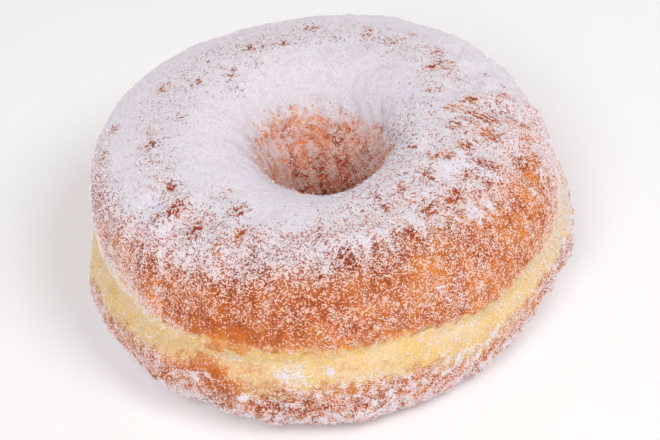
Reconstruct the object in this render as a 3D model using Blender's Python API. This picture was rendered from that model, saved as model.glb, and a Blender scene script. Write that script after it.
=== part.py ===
"""A sugared raised doughnut: one ring of fried yeast dough, standing on a narrow flat base.

The solid is one section carried round the Z axis. The section runs outwards along the base,
up the browned underside to the pale band that stayed above the fat, past the crease under the
dome's lip to the dome's widest place, over the crown, and down through the hole. Its sizes
change a little round the ring, as they do in dough that rises and fries by itself.
Azimuth 0 is +X and 90 degrees is +Y; the front of the doughnut faces -Y.
"""
import bpy
import numpy as np

# Driving sizes in metres. Radii are from the ring's axis, heights above the base.
CROWN_HEIGHT = 0.0427
CROWN_RADIUS = 0.0263
DOME_RADIUS = 0.0460
DOME_WIDEST_HEIGHT = 0.0255
CREASE_HEIGHT = 0.0203
CREASE_DEPTH = 0.0016
CREASE_REACH = 0.0023
BAND_RADIUS = 0.0474
BAND_WIDEST_HEIGHT = 0.0136
BASE_RADIUS = 0.0357
BASE_HOLE_RADIUS = 0.0200
THROAT_RADIUS = 0.0105
THROAT_HEIGHT = 0.0200
HOLE_OFFSET = (0.0003, 0.0007)

# How square each quarter of the section is: 2 is an ellipse, more is fuller.
UNDERSIDE_FULLNESS = 1.96
DOME_FULLNESS = 2.13
HOLE_FULLNESS = 2.19
THROAT_FULLNESS = 2.0

# The ring's unevenness: (times round, metres, azimuth in degrees of a high place).
CROWN_HEIGHT_WAVES = ((1, 0.0018, 177), (2, 0.0010, -13))
CROWN_RADIUS_WAVES = ((1, 0.0023, -155), (2, 0.0012, 70))
DOME_RADIUS_WAVES = ((2, 0.0005, -27), (4, 0.0005, -38))
CREASE_HEIGHT_WAVES = ((1, 0.0017, -136), (3, 0.0010, 37))
CREASE_DEPTH_WAVES = ((1, 0.0007, 160), (2, 0.0004, 0))
BAND_RADIUS_WAVES = ((1, 0.0005, 103), (2, 0.0007, 16), (3, 0.0003, -30), (4, 0.0006, 1))
BAND_HEIGHT_WAVES = ((1, 0.0012, -44), (2, 0.0004, 80))
THROAT_RADIUS_WAVES = ((2, 0.0010, -37),)
THROAT_HEIGHT_WAVES = ((1, 0.0040, -161),)

# Where the lip dips or lifts along the crease: (azimuth in degrees, metres up).
CREASE_STEPS = ((205, 0.0012), (224, -0.0012), (282, 0.0009), (305, -0.0012), (322, 0.0010),
                (20, -0.0008), (70, 0.0010), (118, -0.0009), (160, 0.0006))
CREASE_STEP_REACH = 8.0

# Knobs and dents of the underside and band: (azimuth in degrees, height, metres outwards).
SIDE_LUMPS = ((344, 0.0120, 0.0008), (329, 0.0080, -0.0007), (306, 0.0050, 0.0005),
              (281, 0.0040, -0.0004), (270, 0.0035, 0.0009), (246, 0.0040, 0.0009),
              (228, 0.0060, -0.0007), (217, 0.0060, 0.0006), (206, 0.0080, -0.0005),
              (184, 0.0140, 0.0006), (20, 0.0070, 0.0007), (47, 0.0110, -0.0006),
              (73, 0.0060, 0.0008), (101, 0.0100, -0.0005), (129, 0.0050, 0.0009),
              (152, 0.0090, -0.0006))
LUMP_REACH_ROUND = 0.0042
LUMP_REACH_UP = 0.0048

# Shallow radial puckers of the dome, strongest in two stretches of the ring. They wander
# sideways as they run down, and fade out at the crown and under the lip.
PUCKERS_ROUND = (19, 31)
PUCKER_DEPTH = 0.00028
PUCKER_STRETCHES = ((0, 45), (222, 32))      # (azimuth, reach), in degrees
PUCKER_WANDER = 0.04
PUCKER_WANDER_HEIGHT = 0.006
RELIEF_FADE = 0.008
RELIEF_FOOT = 0.0235

# Shallow dents of the dome, scattered by a seeded draw between two radii.
DENT_COUNT = 26
DENT_DEPTH = (0.0003, 0.0006)
DENT_REACH = (0.0022, 0.0042)
DENT_RADII = (0.0200, 0.0430)
DENT_SEED = 7

STEPS_ROUND = 120
ROWS = {"base": 2, "underside": 9, "side": 11, "dome": 9, "hole": 8, "throat": 5}

# Finishes: name, colour (linear), roughness.
FINISHES = (("browned_crust", (0.50, 0.13, 0.035), 0.55),
            ("pale_band", (0.84, 0.60, 0.31), 0.60),
            ("sugared_crust", (0.74, 0.70, 0.76), 0.85))
ZONE_FINISH = {"base": 0, "underside": 0, "side": 1, "dome": 2, "hole": 2, "throat": 0}


def clear_scene():
    for thing in list(bpy.data.objects):
        bpy.data.objects.remove(thing)


def waves(azimuth, terms):
    """The sum of amount * cos(times * (azimuth - high place)) over the terms."""
    return sum(amount * np.cos(times * (azimuth - np.radians(high)))
               for times, amount, high in terms)


def apart(azimuth, degrees):
    """The angle from each azimuth to the given one, by the short way round, in radians."""
    turn = azimuth - np.radians(degrees)
    return np.arctan2(np.sin(turn), np.cos(turn))


def crown_radius_at(azimuth):
    return CROWN_RADIUS + waves(azimuth, CROWN_RADIUS_WAVES)


def crease_height_at(azimuth):
    """The crease's height: its waves, and the lip's dips and lifts as Gaussians."""
    height = CREASE_HEIGHT + waves(azimuth, CREASE_HEIGHT_WAVES)
    for place, lift in CREASE_STEPS:
        height = height + lift * np.exp(-(apart(azimuth, place) / np.radians(CREASE_STEP_REACH)) ** 2)
    return height


def quarter(share, fullness):
    """Sine-like and cosine-like shares of a quarter superellipse, at 0 to 1 of its run."""
    angle = share * np.pi / 2
    return np.sin(angle) ** (2 / fullness), np.cos(angle) ** (2 / fullness)


def ring_section(azimuth):
    """Radius and height of every row of the section at each azimuth, and each row's zone.

    The side runs smoothly from the band's widest place to the dome's, less a Gaussian groove
    at the crease. The other curved stretches are quarter superellipses.
    """
    crown = CROWN_HEIGHT + waves(azimuth, CROWN_HEIGHT_WAVES)
    crown_radius = crown_radius_at(azimuth)
    dome_radius = DOME_RADIUS + waves(azimuth, DOME_RADIUS_WAVES)
    crease = crease_height_at(azimuth)
    crease_depth = CREASE_DEPTH + waves(azimuth, CREASE_DEPTH_WAVES)
    widest = crease + (DOME_WIDEST_HEIGHT - CREASE_HEIGHT)
    band_radius = BAND_RADIUS + waves(azimuth, BAND_RADIUS_WAVES)
    band_height = BAND_WIDEST_HEIGHT + waves(azimuth, BAND_HEIGHT_WAVES)
    throat_radius = THROAT_RADIUS + waves(azimuth, THROAT_RADIUS_WAVES)
    throat_height = THROAT_HEIGHT + waves(azimuth, THROAT_HEIGHT_WAVES)
    share = {zone: np.arange(count)[None, :] / count for zone, count in ROWS.items()}
    level = np.zeros_like(azimuth)

    outwards = level + share["base"]
    base = BASE_HOLE_RADIUS + (BASE_RADIUS - BASE_HOLE_RADIUS) * outwards, 0 * outwards

    rise, fall = quarter(share["underside"], UNDERSIDE_FULLNESS)
    underside = BASE_RADIUS + (band_radius - BASE_RADIUS) * rise, band_height * (1 - fall)

    up = band_height + (widest - band_height) * share["side"]
    blend = share["side"] ** 2 * (3 - 2 * share["side"])
    groove = crease_depth * np.exp(-((up - crease) / CREASE_REACH) ** 2)
    side = band_radius + (dome_radius - band_radius) * blend - groove, up

    rise, fall = quarter(share["dome"], DOME_FULLNESS)
    dome = (crown_radius + (dome_radius - crown_radius) * fall, widest + (crown - widest) * rise)

    rise, fall = quarter(share["hole"], HOLE_FULLNESS)
    hole = (crown_radius - (crown_radius - throat_radius) * rise,
            throat_height + (crown - throat_height) * fall)

    rise, fall = quarter(share["throat"], THROAT_FULLNESS)
    throat = (throat_radius + (BASE_HOLE_RADIUS - throat_radius) * (1 - fall),
              throat_height * (1 - rise))

    stretches = (base, underside, side, dome, hole, throat)
    radius = np.concatenate([stretch[0] for stretch in stretches], axis=1)
    height = np.concatenate([stretch[1] for stretch in stretches], axis=1)
    return radius, height, np.repeat(list(ROWS), list(ROWS.values()))


def side_relief(azimuth, radius, height):
    """How far the side stands out: each lump is a Gaussian of the distance round and up."""
    grounded = np.sqrt(np.clip(height / LUMP_REACH_UP, 0, 1))
    relief = 0 * radius
    for place, middle, amount in SIDE_LUMPS:
        around = apart(azimuth, place) * radius / LUMP_REACH_ROUND
        up = (height - middle) / LUMP_REACH_UP
        relief = relief + amount * np.exp(-around ** 2 - up ** 2)
    return relief * grounded * (radius > BASE_RADIUS)


def dome_relief(azimuth, radius, height):
    """How far the dome stands out: puckers that fade towards crown and lip, and dents."""
    top = np.clip((height - RELIEF_FOOT) / RELIEF_FADE, 0, 1)
    slope = np.clip((radius - CROWN_RADIUS) / RELIEF_FADE, 0, 1)
    strength = sum(np.exp(-(apart(azimuth, place) / np.radians(reach)) ** 2)
                   for place, reach in PUCKER_STRETCHES)
    bent = azimuth + PUCKER_WANDER * (np.sin(height / PUCKER_WANDER_HEIGHT) + np.sin(3 * azimuth))
    relief = PUCKER_DEPTH * strength * slope * sum(np.sin(count * bent) for count in PUCKERS_ROUND)
    draw = np.random.default_rng(DENT_SEED)
    for _ in range(DENT_COUNT):
        place, middle = draw.uniform(0, 360), draw.uniform(*DENT_RADII)
        depth, reach = draw.uniform(*DENT_DEPTH), draw.uniform(*DENT_REACH)
        around = apart(azimuth, place) * middle / reach
        outwards = (radius - middle) / reach
        relief = relief - depth * np.exp(-around ** 2 - outwards ** 2)
    return relief * top


def ring_points():
    """The closed grid of points, azimuths by rows, and each row's zone."""
    azimuth = np.linspace(0, 2 * np.pi, STEPS_ROUND, endpoint=False)[:, None]
    radius, height, zones = ring_section(azimuth)
    radius = radius + side_relief(azimuth, radius, height)

    # The dome's relief moves it away from the middle of the dough.
    crown_radius = crown_radius_at(azimuth)
    out, up = radius - crown_radius, height - THROAT_HEIGHT
    relief = dome_relief(azimuth, radius, height) / np.hypot(out, up)
    radius, height = radius + relief * out, height + relief * up

    # The hole sits off the ring's middle, which fades out at the crown.
    inside = 1 - np.clip((radius - THROAT_RADIUS) / (crown_radius - THROAT_RADIUS), 0, 1)
    x = radius * np.cos(azimuth) + HOLE_OFFSET[0] * inside
    y = radius * np.sin(azimuth) + HOLE_OFFSET[1] * inside

    # The origin is at the middle of the ring's length and width.
    x, y = x - (x.min() + x.max()) / 2, y - (y.min() + y.max()) / 2
    return np.stack([x, y, height], axis=-1), zones


def finish(name, colour, roughness):
    material = bpy.data.materials.new(name)
    material.use_nodes = True
    shader = material.node_tree.nodes["Principled BSDF"]
    shader.inputs["Base Color"].default_value = (*colour, 1)
    shader.inputs["Roughness"].default_value = roughness
    shader.inputs["Metallic"].default_value = 0
    material.diffuse_color = (*colour, 1)
    return material


def make_doughnut():
    """One closed ring of four-sided faces, wound so that they face outwards."""
    points, zones = ring_points()
    around, rows = points.shape[:2]
    here, row = np.meshgrid(np.arange(around), np.arange(rows), indexing="ij")
    after, next_row = (here + 1) % around, (row + 1) % rows
    faces = np.stack([here * rows + row, after * rows + row,
                      after * rows + next_row, here * rows + next_row], axis=-1).reshape(-1, 4)
    mesh = bpy.data.meshes.new("doughnut")
    mesh.from_pydata(points.reshape(-1, 3).tolist(), [], faces.tolist())
    for look in FINISHES:
        mesh.materials.append(finish(*look))
    slots = np.tile([ZONE_FINISH[zone] for zone in zones], around).astype(np.int32)
    mesh.polygons.foreach_set("material_index", slots)
    mesh.shade_smooth()
    mesh.update()
    doughnut = bpy.data.objects.new("doughnut", mesh)
    bpy.context.scene.collection.objects.link(doughnut)


clear_scene()
make_doughnut()
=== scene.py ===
import bpy
import numpy as np
from mathutils import Matrix, Vector


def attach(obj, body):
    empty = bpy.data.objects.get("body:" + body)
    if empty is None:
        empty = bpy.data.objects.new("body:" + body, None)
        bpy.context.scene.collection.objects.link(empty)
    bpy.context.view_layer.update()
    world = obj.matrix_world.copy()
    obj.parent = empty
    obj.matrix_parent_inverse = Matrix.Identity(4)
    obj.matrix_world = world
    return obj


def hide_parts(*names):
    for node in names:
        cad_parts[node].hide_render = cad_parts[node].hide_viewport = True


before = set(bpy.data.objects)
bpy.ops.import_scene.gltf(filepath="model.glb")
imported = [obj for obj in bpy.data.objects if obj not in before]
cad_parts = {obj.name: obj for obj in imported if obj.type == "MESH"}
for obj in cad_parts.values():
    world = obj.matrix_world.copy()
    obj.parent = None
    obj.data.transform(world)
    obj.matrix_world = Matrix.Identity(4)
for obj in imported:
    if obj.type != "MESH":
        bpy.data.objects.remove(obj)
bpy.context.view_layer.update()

# ---- the ring of fried dough
# One ring of raised yeast dough, floated in hot fat and turned over once. The dome and the
# underside browned in the fat, and the side that stayed above it is the pale band. The form is
# the frame's own: one section carried round the Z axis, on a finer grid and with finer relief.
CROWN_HEIGHT = 0.0427
CROWN_RADIUS = 0.0263
DOME_RADIUS = 0.0460
DOME_WIDEST_HEIGHT = 0.0255
CREASE_HEIGHT = 0.0203
CREASE_DEPTH = 0.0016
CREASE_REACH = 0.0023
BAND_RADIUS = 0.0474
BAND_WIDEST_HEIGHT = 0.0136
BASE_RADIUS = 0.0357
BASE_HOLE_RADIUS = 0.0200
THROAT_RADIUS = 0.0105
THROAT_HEIGHT = 0.0200
HOLE_OFFSET = (0.0003, 0.0007)

# How square each quarter of the section is: 2 is an ellipse, more is fuller.
UNDERSIDE_FULLNESS = 1.96
DOME_FULLNESS = 2.13
HOLE_FULLNESS = 2.19
THROAT_FULLNESS = 2.0

# The ring's unevenness: (times round, metres, azimuth in degrees of a high place).
CROWN_HEIGHT_WAVES = ((1, 0.0018, 177), (2, 0.0010, -13))
CROWN_RADIUS_WAVES = ((1, 0.0023, -155), (2, 0.0012, 70))
DOME_RADIUS_WAVES = ((2, 0.0005, -27), (4, 0.0005, -38))
CREASE_HEIGHT_WAVES = ((1, 0.0017, -136), (3, 0.0010, 37))
CREASE_DEPTH_WAVES = ((1, 0.0007, 160), (2, 0.0004, 0))
BAND_RADIUS_WAVES = ((1, 0.0005, 103), (2, 0.0007, 16), (3, 0.0003, -30), (4, 0.0006, 1))
BAND_HEIGHT_WAVES = ((1, 0.0012, -44), (2, 0.0004, 80))
THROAT_RADIUS_WAVES = ((2, 0.0010, -37),)
THROAT_HEIGHT_WAVES = ((1, 0.0040, -161),)

# Where the lip dips or lifts along the crease: (azimuth in degrees, metres up).
CREASE_STEPS = ((205, 0.0012), (224, -0.0012), (282, 0.0009), (305, -0.0012), (322, 0.0010),
                (20, -0.0008), (70, 0.0010), (118, -0.0009), (160, 0.0006))
CREASE_STEP_REACH = 8.0

# Knobs and dents of the underside and band: (azimuth in degrees, height, metres outwards).
SIDE_LUMPS = ((344, 0.0120, 0.0008), (329, 0.0080, -0.0007), (306, 0.0050, 0.0005),
              (281, 0.0040, -0.0004), (270, 0.0035, 0.0009), (246, 0.0040, 0.0009),
              (228, 0.0060, -0.0007), (217, 0.0060, 0.0006), (206, 0.0080, -0.0005),
              (184, 0.0140, 0.0006), (20, 0.0070, 0.0007), (47, 0.0110, -0.0006),
              (73, 0.0060, 0.0008), (101, 0.0100, -0.0005), (129, 0.0050, 0.0009),
              (152, 0.0090, -0.0006))
LUMP_REACH_ROUND = 0.0042
LUMP_REACH_UP = 0.0048

# Shallow radial puckers of the dome, strongest in two stretches of the ring.
PUCKERS_ROUND = (19, 31)
PUCKER_DEPTH = 0.00028
PUCKER_STRETCHES = ((0, 45), (222, 32))  # (azimuth, reach), in degrees
PUCKER_WANDER = 0.04
PUCKER_WANDER_HEIGHT = 0.006
RELIEF_FADE = 0.008
RELIEF_FOOT = 0.0235

# Shallow dents of the dome, scattered by a seeded draw between two radii.
DENT_COUNT = 26
DENT_DEPTH = (0.0003, 0.0006)
DENT_REACH = (0.0022, 0.0042)
DENT_RADII = (0.0200, 0.0430)
DENT_SEED = 7

# The six stretches of the section, in order: a station is a stretch's number plus a share.
BASE, UNDERSIDE, SIDE, DOME, HOLE, THROAT = range(6)
STRETCHES = 6


def waves(azimuth, terms):
    """The sum of amount * cos(times * (azimuth - high place)) over the terms."""
    return sum(amount * np.cos(times * (azimuth - np.radians(high)))
               for times, amount, high in terms)


def apart(azimuth, degrees):
    """The angle from each azimuth to the given one, by the short way round, in radians."""
    turn = azimuth - np.radians(degrees)
    return np.arctan2(np.sin(turn), np.cos(turn))


def soft_step(value):
    """0 below 0, 1 above 1, and the smooth 3v^2 - 2v^3 between them."""
    value = np.clip(value, 0, 1)
    return value * value * (3 - 2 * value)


def quarter(share, fullness):
    """Sine-like and cosine-like shares of a quarter superellipse, at 0 to 1 of its run."""
    angle = share * np.pi / 2
    return np.sin(angle) ** (2 / fullness), np.cos(angle) ** (2 / fullness)


def crease_height_at(azimuth):
    """The crease's height: its waves, and the lip's dips and lifts as Gaussians."""
    height = CREASE_HEIGHT + waves(azimuth, CREASE_HEIGHT_WAVES)
    reach = np.radians(CREASE_STEP_REACH)
    for place, lift in CREASE_STEPS:
        height = height + lift * np.exp(-(apart(azimuth, place) / reach) ** 2)
    return height


def ring_section(azimuth, station):
    """Radius and height of the section at each azimuth and station.

    The base is a straight line. The side runs smoothly from the band's widest place to the
    dome's, less a Gaussian groove at the crease. The rest are quarter superellipses.
    """
    crown = CROWN_HEIGHT + waves(azimuth, CROWN_HEIGHT_WAVES)
    crown_radius = CROWN_RADIUS + waves(azimuth, CROWN_RADIUS_WAVES)
    dome_radius = DOME_RADIUS + waves(azimuth, DOME_RADIUS_WAVES)
    crease = crease_height_at(azimuth)
    widest = crease + (DOME_WIDEST_HEIGHT - CREASE_HEIGHT)
    band_radius = BAND_RADIUS + waves(azimuth, BAND_RADIUS_WAVES)
    band_height = BAND_WIDEST_HEIGHT + waves(azimuth, BAND_HEIGHT_WAVES)
    throat_radius = THROAT_RADIUS + waves(azimuth, THROAT_RADIUS_WAVES)
    throat_height = THROAT_HEIGHT + waves(azimuth, THROAT_HEIGHT_WAVES)
    share = [np.clip(station - stretch, 0, 1) for stretch in range(STRETCHES)]

    base = BASE_HOLE_RADIUS + (BASE_RADIUS - BASE_HOLE_RADIUS) * share[BASE], 0 * share[BASE]
    rise, fall = quarter(share[UNDERSIDE], UNDERSIDE_FULLNESS)
    underside = BASE_RADIUS + (band_radius - BASE_RADIUS) * rise, band_height * (1 - fall)
    up = band_height + (widest - band_height) * share[SIDE]
    groove = ((CREASE_DEPTH + waves(azimuth, CREASE_DEPTH_WAVES))
              * np.exp(-((up - crease) / CREASE_REACH) ** 2))
    side = band_radius + (dome_radius - band_radius) * soft_step(share[SIDE]) - groove, up
    rise, fall = quarter(share[DOME], DOME_FULLNESS)
    dome = crown_radius + (dome_radius - crown_radius) * fall, widest + (crown - widest) * rise
    rise, fall = quarter(share[HOLE], HOLE_FULLNESS)
    hole = (crown_radius - (crown_radius - throat_radius) * rise,
            throat_height + (crown - throat_height) * fall)
    rise, fall = quarter(share[THROAT], THROAT_FULLNESS)
    throat = (throat_radius + (BASE_HOLE_RADIUS - throat_radius) * (1 - fall),
              throat_height * (1 - rise))

    stretches = (base, underside, side, dome, hole, throat)
    here = [station < stretch + 1 for stretch in range(STRETCHES)]
    return (np.select(here, [radius for radius, _ in stretches], throat[0]),
            np.select(here, [height for _, height in stretches], throat[1]))


def side_relief(azimuth, radius, height):
    """How far the side stands out: each lump is a Gaussian of the distance round and up."""
    relief = 0 * radius
    for place, middle, amount in SIDE_LUMPS:
        around = apart(azimuth, place) * radius / LUMP_REACH_ROUND
        up = (height - middle) / LUMP_REACH_UP
        relief = relief + amount * np.exp(-around ** 2 - up ** 2)
    return relief * np.sqrt(np.clip(height / LUMP_REACH_UP, 0, 1)) * (radius > BASE_RADIUS)


def dome_relief(azimuth, radius, height):
    """How far the dome stands out: puckers that fade towards crown and lip, and dents."""
    top = np.clip((height - RELIEF_FOOT) / RELIEF_FADE, 0, 1)
    slope = np.clip((radius - CROWN_RADIUS) / RELIEF_FADE, 0, 1)
    strength = sum(np.exp(-(apart(azimuth, place) / np.radians(reach)) ** 2)
                   for place, reach in PUCKER_STRETCHES)
    bent = azimuth + PUCKER_WANDER * (np.sin(height / PUCKER_WANDER_HEIGHT) + np.sin(3 * azimuth))
    relief = PUCKER_DEPTH * strength * slope * sum(np.sin(count * bent) for count in PUCKERS_ROUND)
    draw = np.random.default_rng(DENT_SEED)
    for _ in range(DENT_COUNT):
        place, middle = draw.uniform(0, 360), draw.uniform(*DENT_RADII)
        depth, reach = draw.uniform(*DENT_DEPTH), draw.uniform(*DENT_REACH)
        around = apart(azimuth, place) * middle / reach
        outwards = (radius - middle) / reach
        relief = relief - depth * np.exp(-around ** 2 - outwards ** 2)
    return relief * top


def ring_form(azimuth, station):
    """The dough's plain form as points: the section with the solid's own relief, turned round
    the Z axis, and the hole moved off the ring's middle."""
    radius, height = ring_section(azimuth, station)
    radius = radius + side_relief(azimuth, radius, height)
    crown_radius = CROWN_RADIUS + waves(azimuth, CROWN_RADIUS_WAVES)
    out, up = radius - crown_radius, height - THROAT_HEIGHT
    relief = dome_relief(azimuth, radius, height) / np.hypot(out, up)
    radius, height = radius + relief * out, height + relief * up
    inside = 1 - np.clip((radius - THROAT_RADIUS) / (crown_radius - THROAT_RADIUS), 0, 1)
    return np.stack([radius * np.cos(azimuth) + HOLE_OFFSET[0] * inside,
                     radius * np.sin(azimuth) + HOLE_OFFSET[1] * inside, height], axis=-1)


def full_turn(steps):
    """Azimuths of a whole turn, as a column."""
    return np.linspace(0, 2 * np.pi, steps, endpoint=False)[:, None]


MEASURE_STEPS_ROUND = 360
MEASURE_STATIONS = 120


def off_centre():
    """How far the middle of the form's length and width lies from the Z axis."""
    station = np.linspace(SIDE, HOLE, MEASURE_STATIONS)[None, :]
    points = ring_form(full_turn(MEASURE_STEPS_ROUND), station)
    middle = (points.min(axis=(0, 1)) + points.max(axis=(0, 1))) / 2
    return np.array([middle[0], middle[1], 0])


OFF_CENTRE = off_centre()


WAY_STEPS_ROUND = 24
WAY_STATIONS = 1201


def way_out(station):
    """Distance from the crown along the average section, positive down the dome: the lengths
    of its short steps, summed and read off at each station."""
    fine = np.linspace(0, STRETCHES, WAY_STATIONS)
    radius, height = ring_section(full_turn(WAY_STEPS_ROUND), fine[None, :])
    steps = np.hypot(np.diff(radius, axis=1), np.diff(height, axis=1)).mean(axis=0)
    along = np.concatenate([[0], np.cumsum(steps)])
    return np.interp(HOLE, fine, along) - np.interp(station, fine, along)


def past(distance, edge, fade):
    """0 well before the edge and 1 well past it, by a smooth step as long as the fade."""
    return soft_step((distance - edge) / fade + 0.5)


MILLIMETRE = 0.001


def near(azimuth, out, radius, places):
    """For each place, its amount, and the squared distance to it in its own reaches."""
    for middle, distance, reach_round, reach_along, amount in places:
        around = apart(azimuth, middle) * radius / (reach_round * MILLIMETRE)
        along = (out - distance * MILLIMETRE) / (reach_along * MILLIMETRE)
        yield amount, around ** 2 + along ** 2


NOISE_WAVES = 36


def ripple(points, length, seed, count=NOISE_WAVES):
    """Even noise of one wavelength and a spread of 1: a sum of plane waves that run in random
    directions."""
    draw = np.random.default_rng(seed)
    ways = draw.normal(size=(count, 3))
    ways *= 2 * np.pi / length / np.linalg.norm(ways, axis=1, keepdims=True)
    starts = draw.uniform(0, 2 * np.pi, count)
    return np.sqrt(2 / count) * sum(
        np.cos(points @ way + start) for way, start in zip(ways, starts))


def ripples(points, terms):
    """The sum of amount * ripple over the terms: (amount, wavelength, seed)."""
    return sum(amount * ripple(points, length, seed) for amount, length, seed in terms)


def streaks(azimuth, out, amount, times, run, seed):
    """Noise drawn out down the slope, with this amount as its spread: cosines that fit a whole
    number of times round and turn slowly along the section."""
    draw = np.random.default_rng(seed)
    round_it = draw.integers(*times, NOISE_WAVES)
    along = draw.normal(0, 2 * np.pi / run, NOISE_WAVES)
    starts = draw.uniform(0, 2 * np.pi, NOISE_WAVES)
    return amount * np.sqrt(2 / NOISE_WAVES) * sum(
        np.cos(n * azimuth + k * out + start) for n, k, start in zip(round_it, along, starts))


# How much of the crust the sugar hides, from 0 to 1. Distances are from the crown along the
# section, positive down the dome. Waves are (times round, amount, azimuth of a high place),
# clumps are (amount, wavelength, seed), and streaks (amount, times round, length, seed).
THICK_COVER = 1.05
THICK_EDGE = 0.0165
THICK_EDGE_WAVES = ((1, 0.0053, 103),)
THICK_FADE = 0.0140
WORN_PLACE = 0.0045  # a ring just outside the crown, where the sugar is worn thinner
WORN_REACH = 0.0055
WORN_COVER = 0.20
WORN_COVER_WAVES = ((1, 0.08, 290),)
THIN_COVER = 0.70
THIN_COVER_WAVES = ((1, 0.295, 90), (2, 0.065, 0), (3, 0.06, 30))
THIN_CLUMPS = ((0.060, 0.0017, 31), (0.050, 0.0036, 32))
THIN_STREAKS = (0.05, (45, 120), 0.016, 33)
STREAKS_START = (0.0050, 0.0060)  # the middle of their rise from nothing, and its length
LEAST_BROKEN = 0.3  # the share of that noise which thick or bare places keep
HOLE_EDGE = -0.0157
HOLE_EDGE_WAVES = ((1, 0.0024, -11), (2, 0.0011, -66))
HOLE_EDGE_STREAKS = (0.0004, (18, 80), 0.030, 36)
HOLE_EDGE_CLUMPS = ((0.0004, 0.0026, 38),)
HOLE_FADE = 0.0062
HOLE_COVER = 0.68
HOLE_COVER_WAVES = ((1, 0.05, 185), (2, 0.04, 0), (3, 0.04, 20))
HOLE_STREAKS = (0.05, (12, 40), 0.030, 37)
HOLE_CLUMPS = ((0.18, 0.0014, 39),)
HOLE_DUSTING = 0.13  # how much more of the even dusting there is inside the hole
HOLE_CLEAR = 0.47  # and how much clearer its grains look
BAND_COVER = 0.46
BAND_COVER_WAVES = ((1, 0.10, 85), (1, 0.07, 330), (2, 0.10, 5))
UNDERSIDE_COVER = 0.60
UNDERSIDE_COVER_WAVES = ((2, 0.05, 5),)
UNDERSIDE_CLUMPS = ((0.12, 0.0024, 35),)
FOOT_PLACE = 0.0480  # past here the underside is rubbed in sugar again
FOOT_COVER = 0.18
SPOT_CLUMPS = ((0.9, 0.0010, 34),)
SPOT_STRENGTH = (0, 2.2)  # how weak and how strong those clumps make a bare spot at most
MOST_COVER = 1.25
LEAST_GRAINS = 0.22  # the share of the dusting that always shows as grains
WHITE_FROM = 0.36  # the cover from which grains begin to look white
WHITE_GAIN = 1.85

# The pale band's edges, as distances from the crown: it starts below the lip and ends where
# the underside's crust begins.
PALE_TOP = 0.0303
PALE_TOP_WAVES = ((1, 0.0009, -2), (2, 0.0013, -75), (3, 0.0008, 42))
PALE_FOOT = 0.0403
PALE_FOOT_WAVES = ((1, 0.0012, 2), (2, 0.0007, -32), (3, 0.0005, 37))
PALE_BLUR = 0.0026
PALE_RAGGEDNESS = ((0.0005, 0.0024, 41), (0.0004, 0.0011, 42))

# Where brown dough lies in the band, or pale dough in the crust. A place is (azimuth in degrees,
# distance from the crown, reach round and reach along in millimetres, amount of pale).
PALE_PLACES = (
    (232.6, 38.4, 5.6, 3.4, -0.95), (239, 31.2, 5.8, 1.4, -0.95),
    (251.7, 40.4, 1.2, 0.8, -0.60), (277.8, 37.6, 3, 0.6, -0.35),
    (269.2, 36.1, 3.2, 0.6, -0.35), (284, 39.9, 1.4, 0.8, -0.45), (262, 41.8, 6, 1, 0.30),
    (300, 42.5, 10, 1.8, 0.55), (247.5, 41.3, 5.6, 1.8, 0.60), (245, 36.2, 3.6, 1.1, -0.48),
    (249.5, 38.3, 2.2, 0.8, -0.40), (305, 43.5, 12, 2.2, 0.30))

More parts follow.
